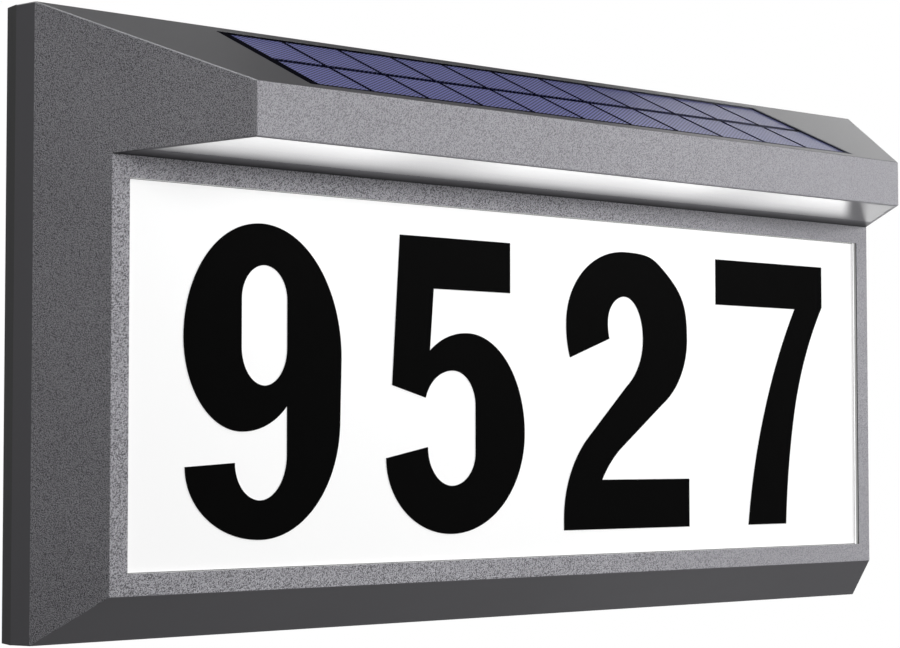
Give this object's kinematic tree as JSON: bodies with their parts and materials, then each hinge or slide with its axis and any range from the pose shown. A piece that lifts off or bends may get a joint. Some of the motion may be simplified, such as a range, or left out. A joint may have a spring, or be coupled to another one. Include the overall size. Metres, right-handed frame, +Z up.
{
  "type": "house number sign",
  "caption": "Wall-mounted house number sign: bevelled grey frame with a white plate and black digits, lit from a lamp hood above that carries a solar panel.",
  "frame": {"origin": "midway between the entry circles of the two keyholes, on the rear face that lies against the wall", "axes": "+X to the right as seen from the front, +Y into the wall, +Z up"},
  "size_m": [0.3204, 0.0597, 0.1606],
  "materials": {
    "housing": "mid-grey moulded ABS, fine sandy texture, smooth on the roof and underneath",
    "cover": "mid-grey moulded ABS, fine sandy texture",
    "seal": "soft black silicone",
    "screw_steel": "zinc-plated steel, fine turning marks",
    "foam_tape": "matt acrylic foam",
    "plate_white": "white, satin, reflective",
    "digit_film": "black satin self-adhesive film",
    "panel_board": "black glass-fibre board",
    "solar_cell": "blue-violet silicon under resin, fine contact fingers",
    "panel_resin": "clear resin, satin",
    "lens": "opal, translucent, satin",
    "lamp_board": "white solder resist",
    "led": "white package with phosphor window",
    "circuit_board": "green solder resist",
    "button_rubber": "soft black silicone, satin",
    "switch_plastic": "black moulding",
    "plunger_plastic": "white moulding",
    "chip_resin": "black moulded resin",
    "ferrite": "dark grey sintered ferrite",
    "capacitor_can": "bright can",
    "socket_plastic": "off-white nylon",
    "battery_steel": "bright plated can",
    "shrink_film": "blue heat-shrink film",
    "nickel_strip": "bright nickel strip",
    "strap_plastic": "black nylon",
    "lead_sleeve": "black flat two-core sleeve"
  },
  "bodies": {
    "sign": {"front_housing": "housing", "back_cover": "cover", "cover_gasket": "seal", "cover_screws": "screw_steel", "plate_tape": "foam_tape", "number_plate": "plate_white", "number_9": "digit_film", "number_5": "digit_film", "number_2": "digit_film", "number_7": "digit_film", "panel_tape": "foam_tape", "panel_backing": "panel_board", "solar_cells": "solar_cell", "panel_window": "panel_resin", "light_lens": "lens", "led_board": "lamp_board", "leds": "led", "led_screws": "screw_steel", "switch_body": "switch_plastic", "control_board": "circuit_board", "board_screws": "screw_steel", "charge_chips": "chip_resin", "boost_coil": "ferrite", "capacitor": "capacitor_can", "board_sockets": "socket_plastic", "lead_plugs": "socket_plastic", "battery_cells": "battery_steel", "battery_film": "shrink_film", "battery_tabs": "nickel_strip", "battery_strap": "strap_plastic", "strap_screws": "screw_steel", "battery_lead": "lead_sleeve", "panel_lead": "lead_sleeve", "lamp_lead": "lead_sleeve"},
    "button": {"switch_button": "button_rubber", "switch_plunger": "plunger_plastic"}
  },
  "joints": [
    {"name": "button_press", "type": "slide", "parent": "sign", "child": "button", "axis": [0, -1, 0], "range_m": [0, 0.0012], "stiffness_N_per_m": 800, "springref_m": -0.001}
  ]
}
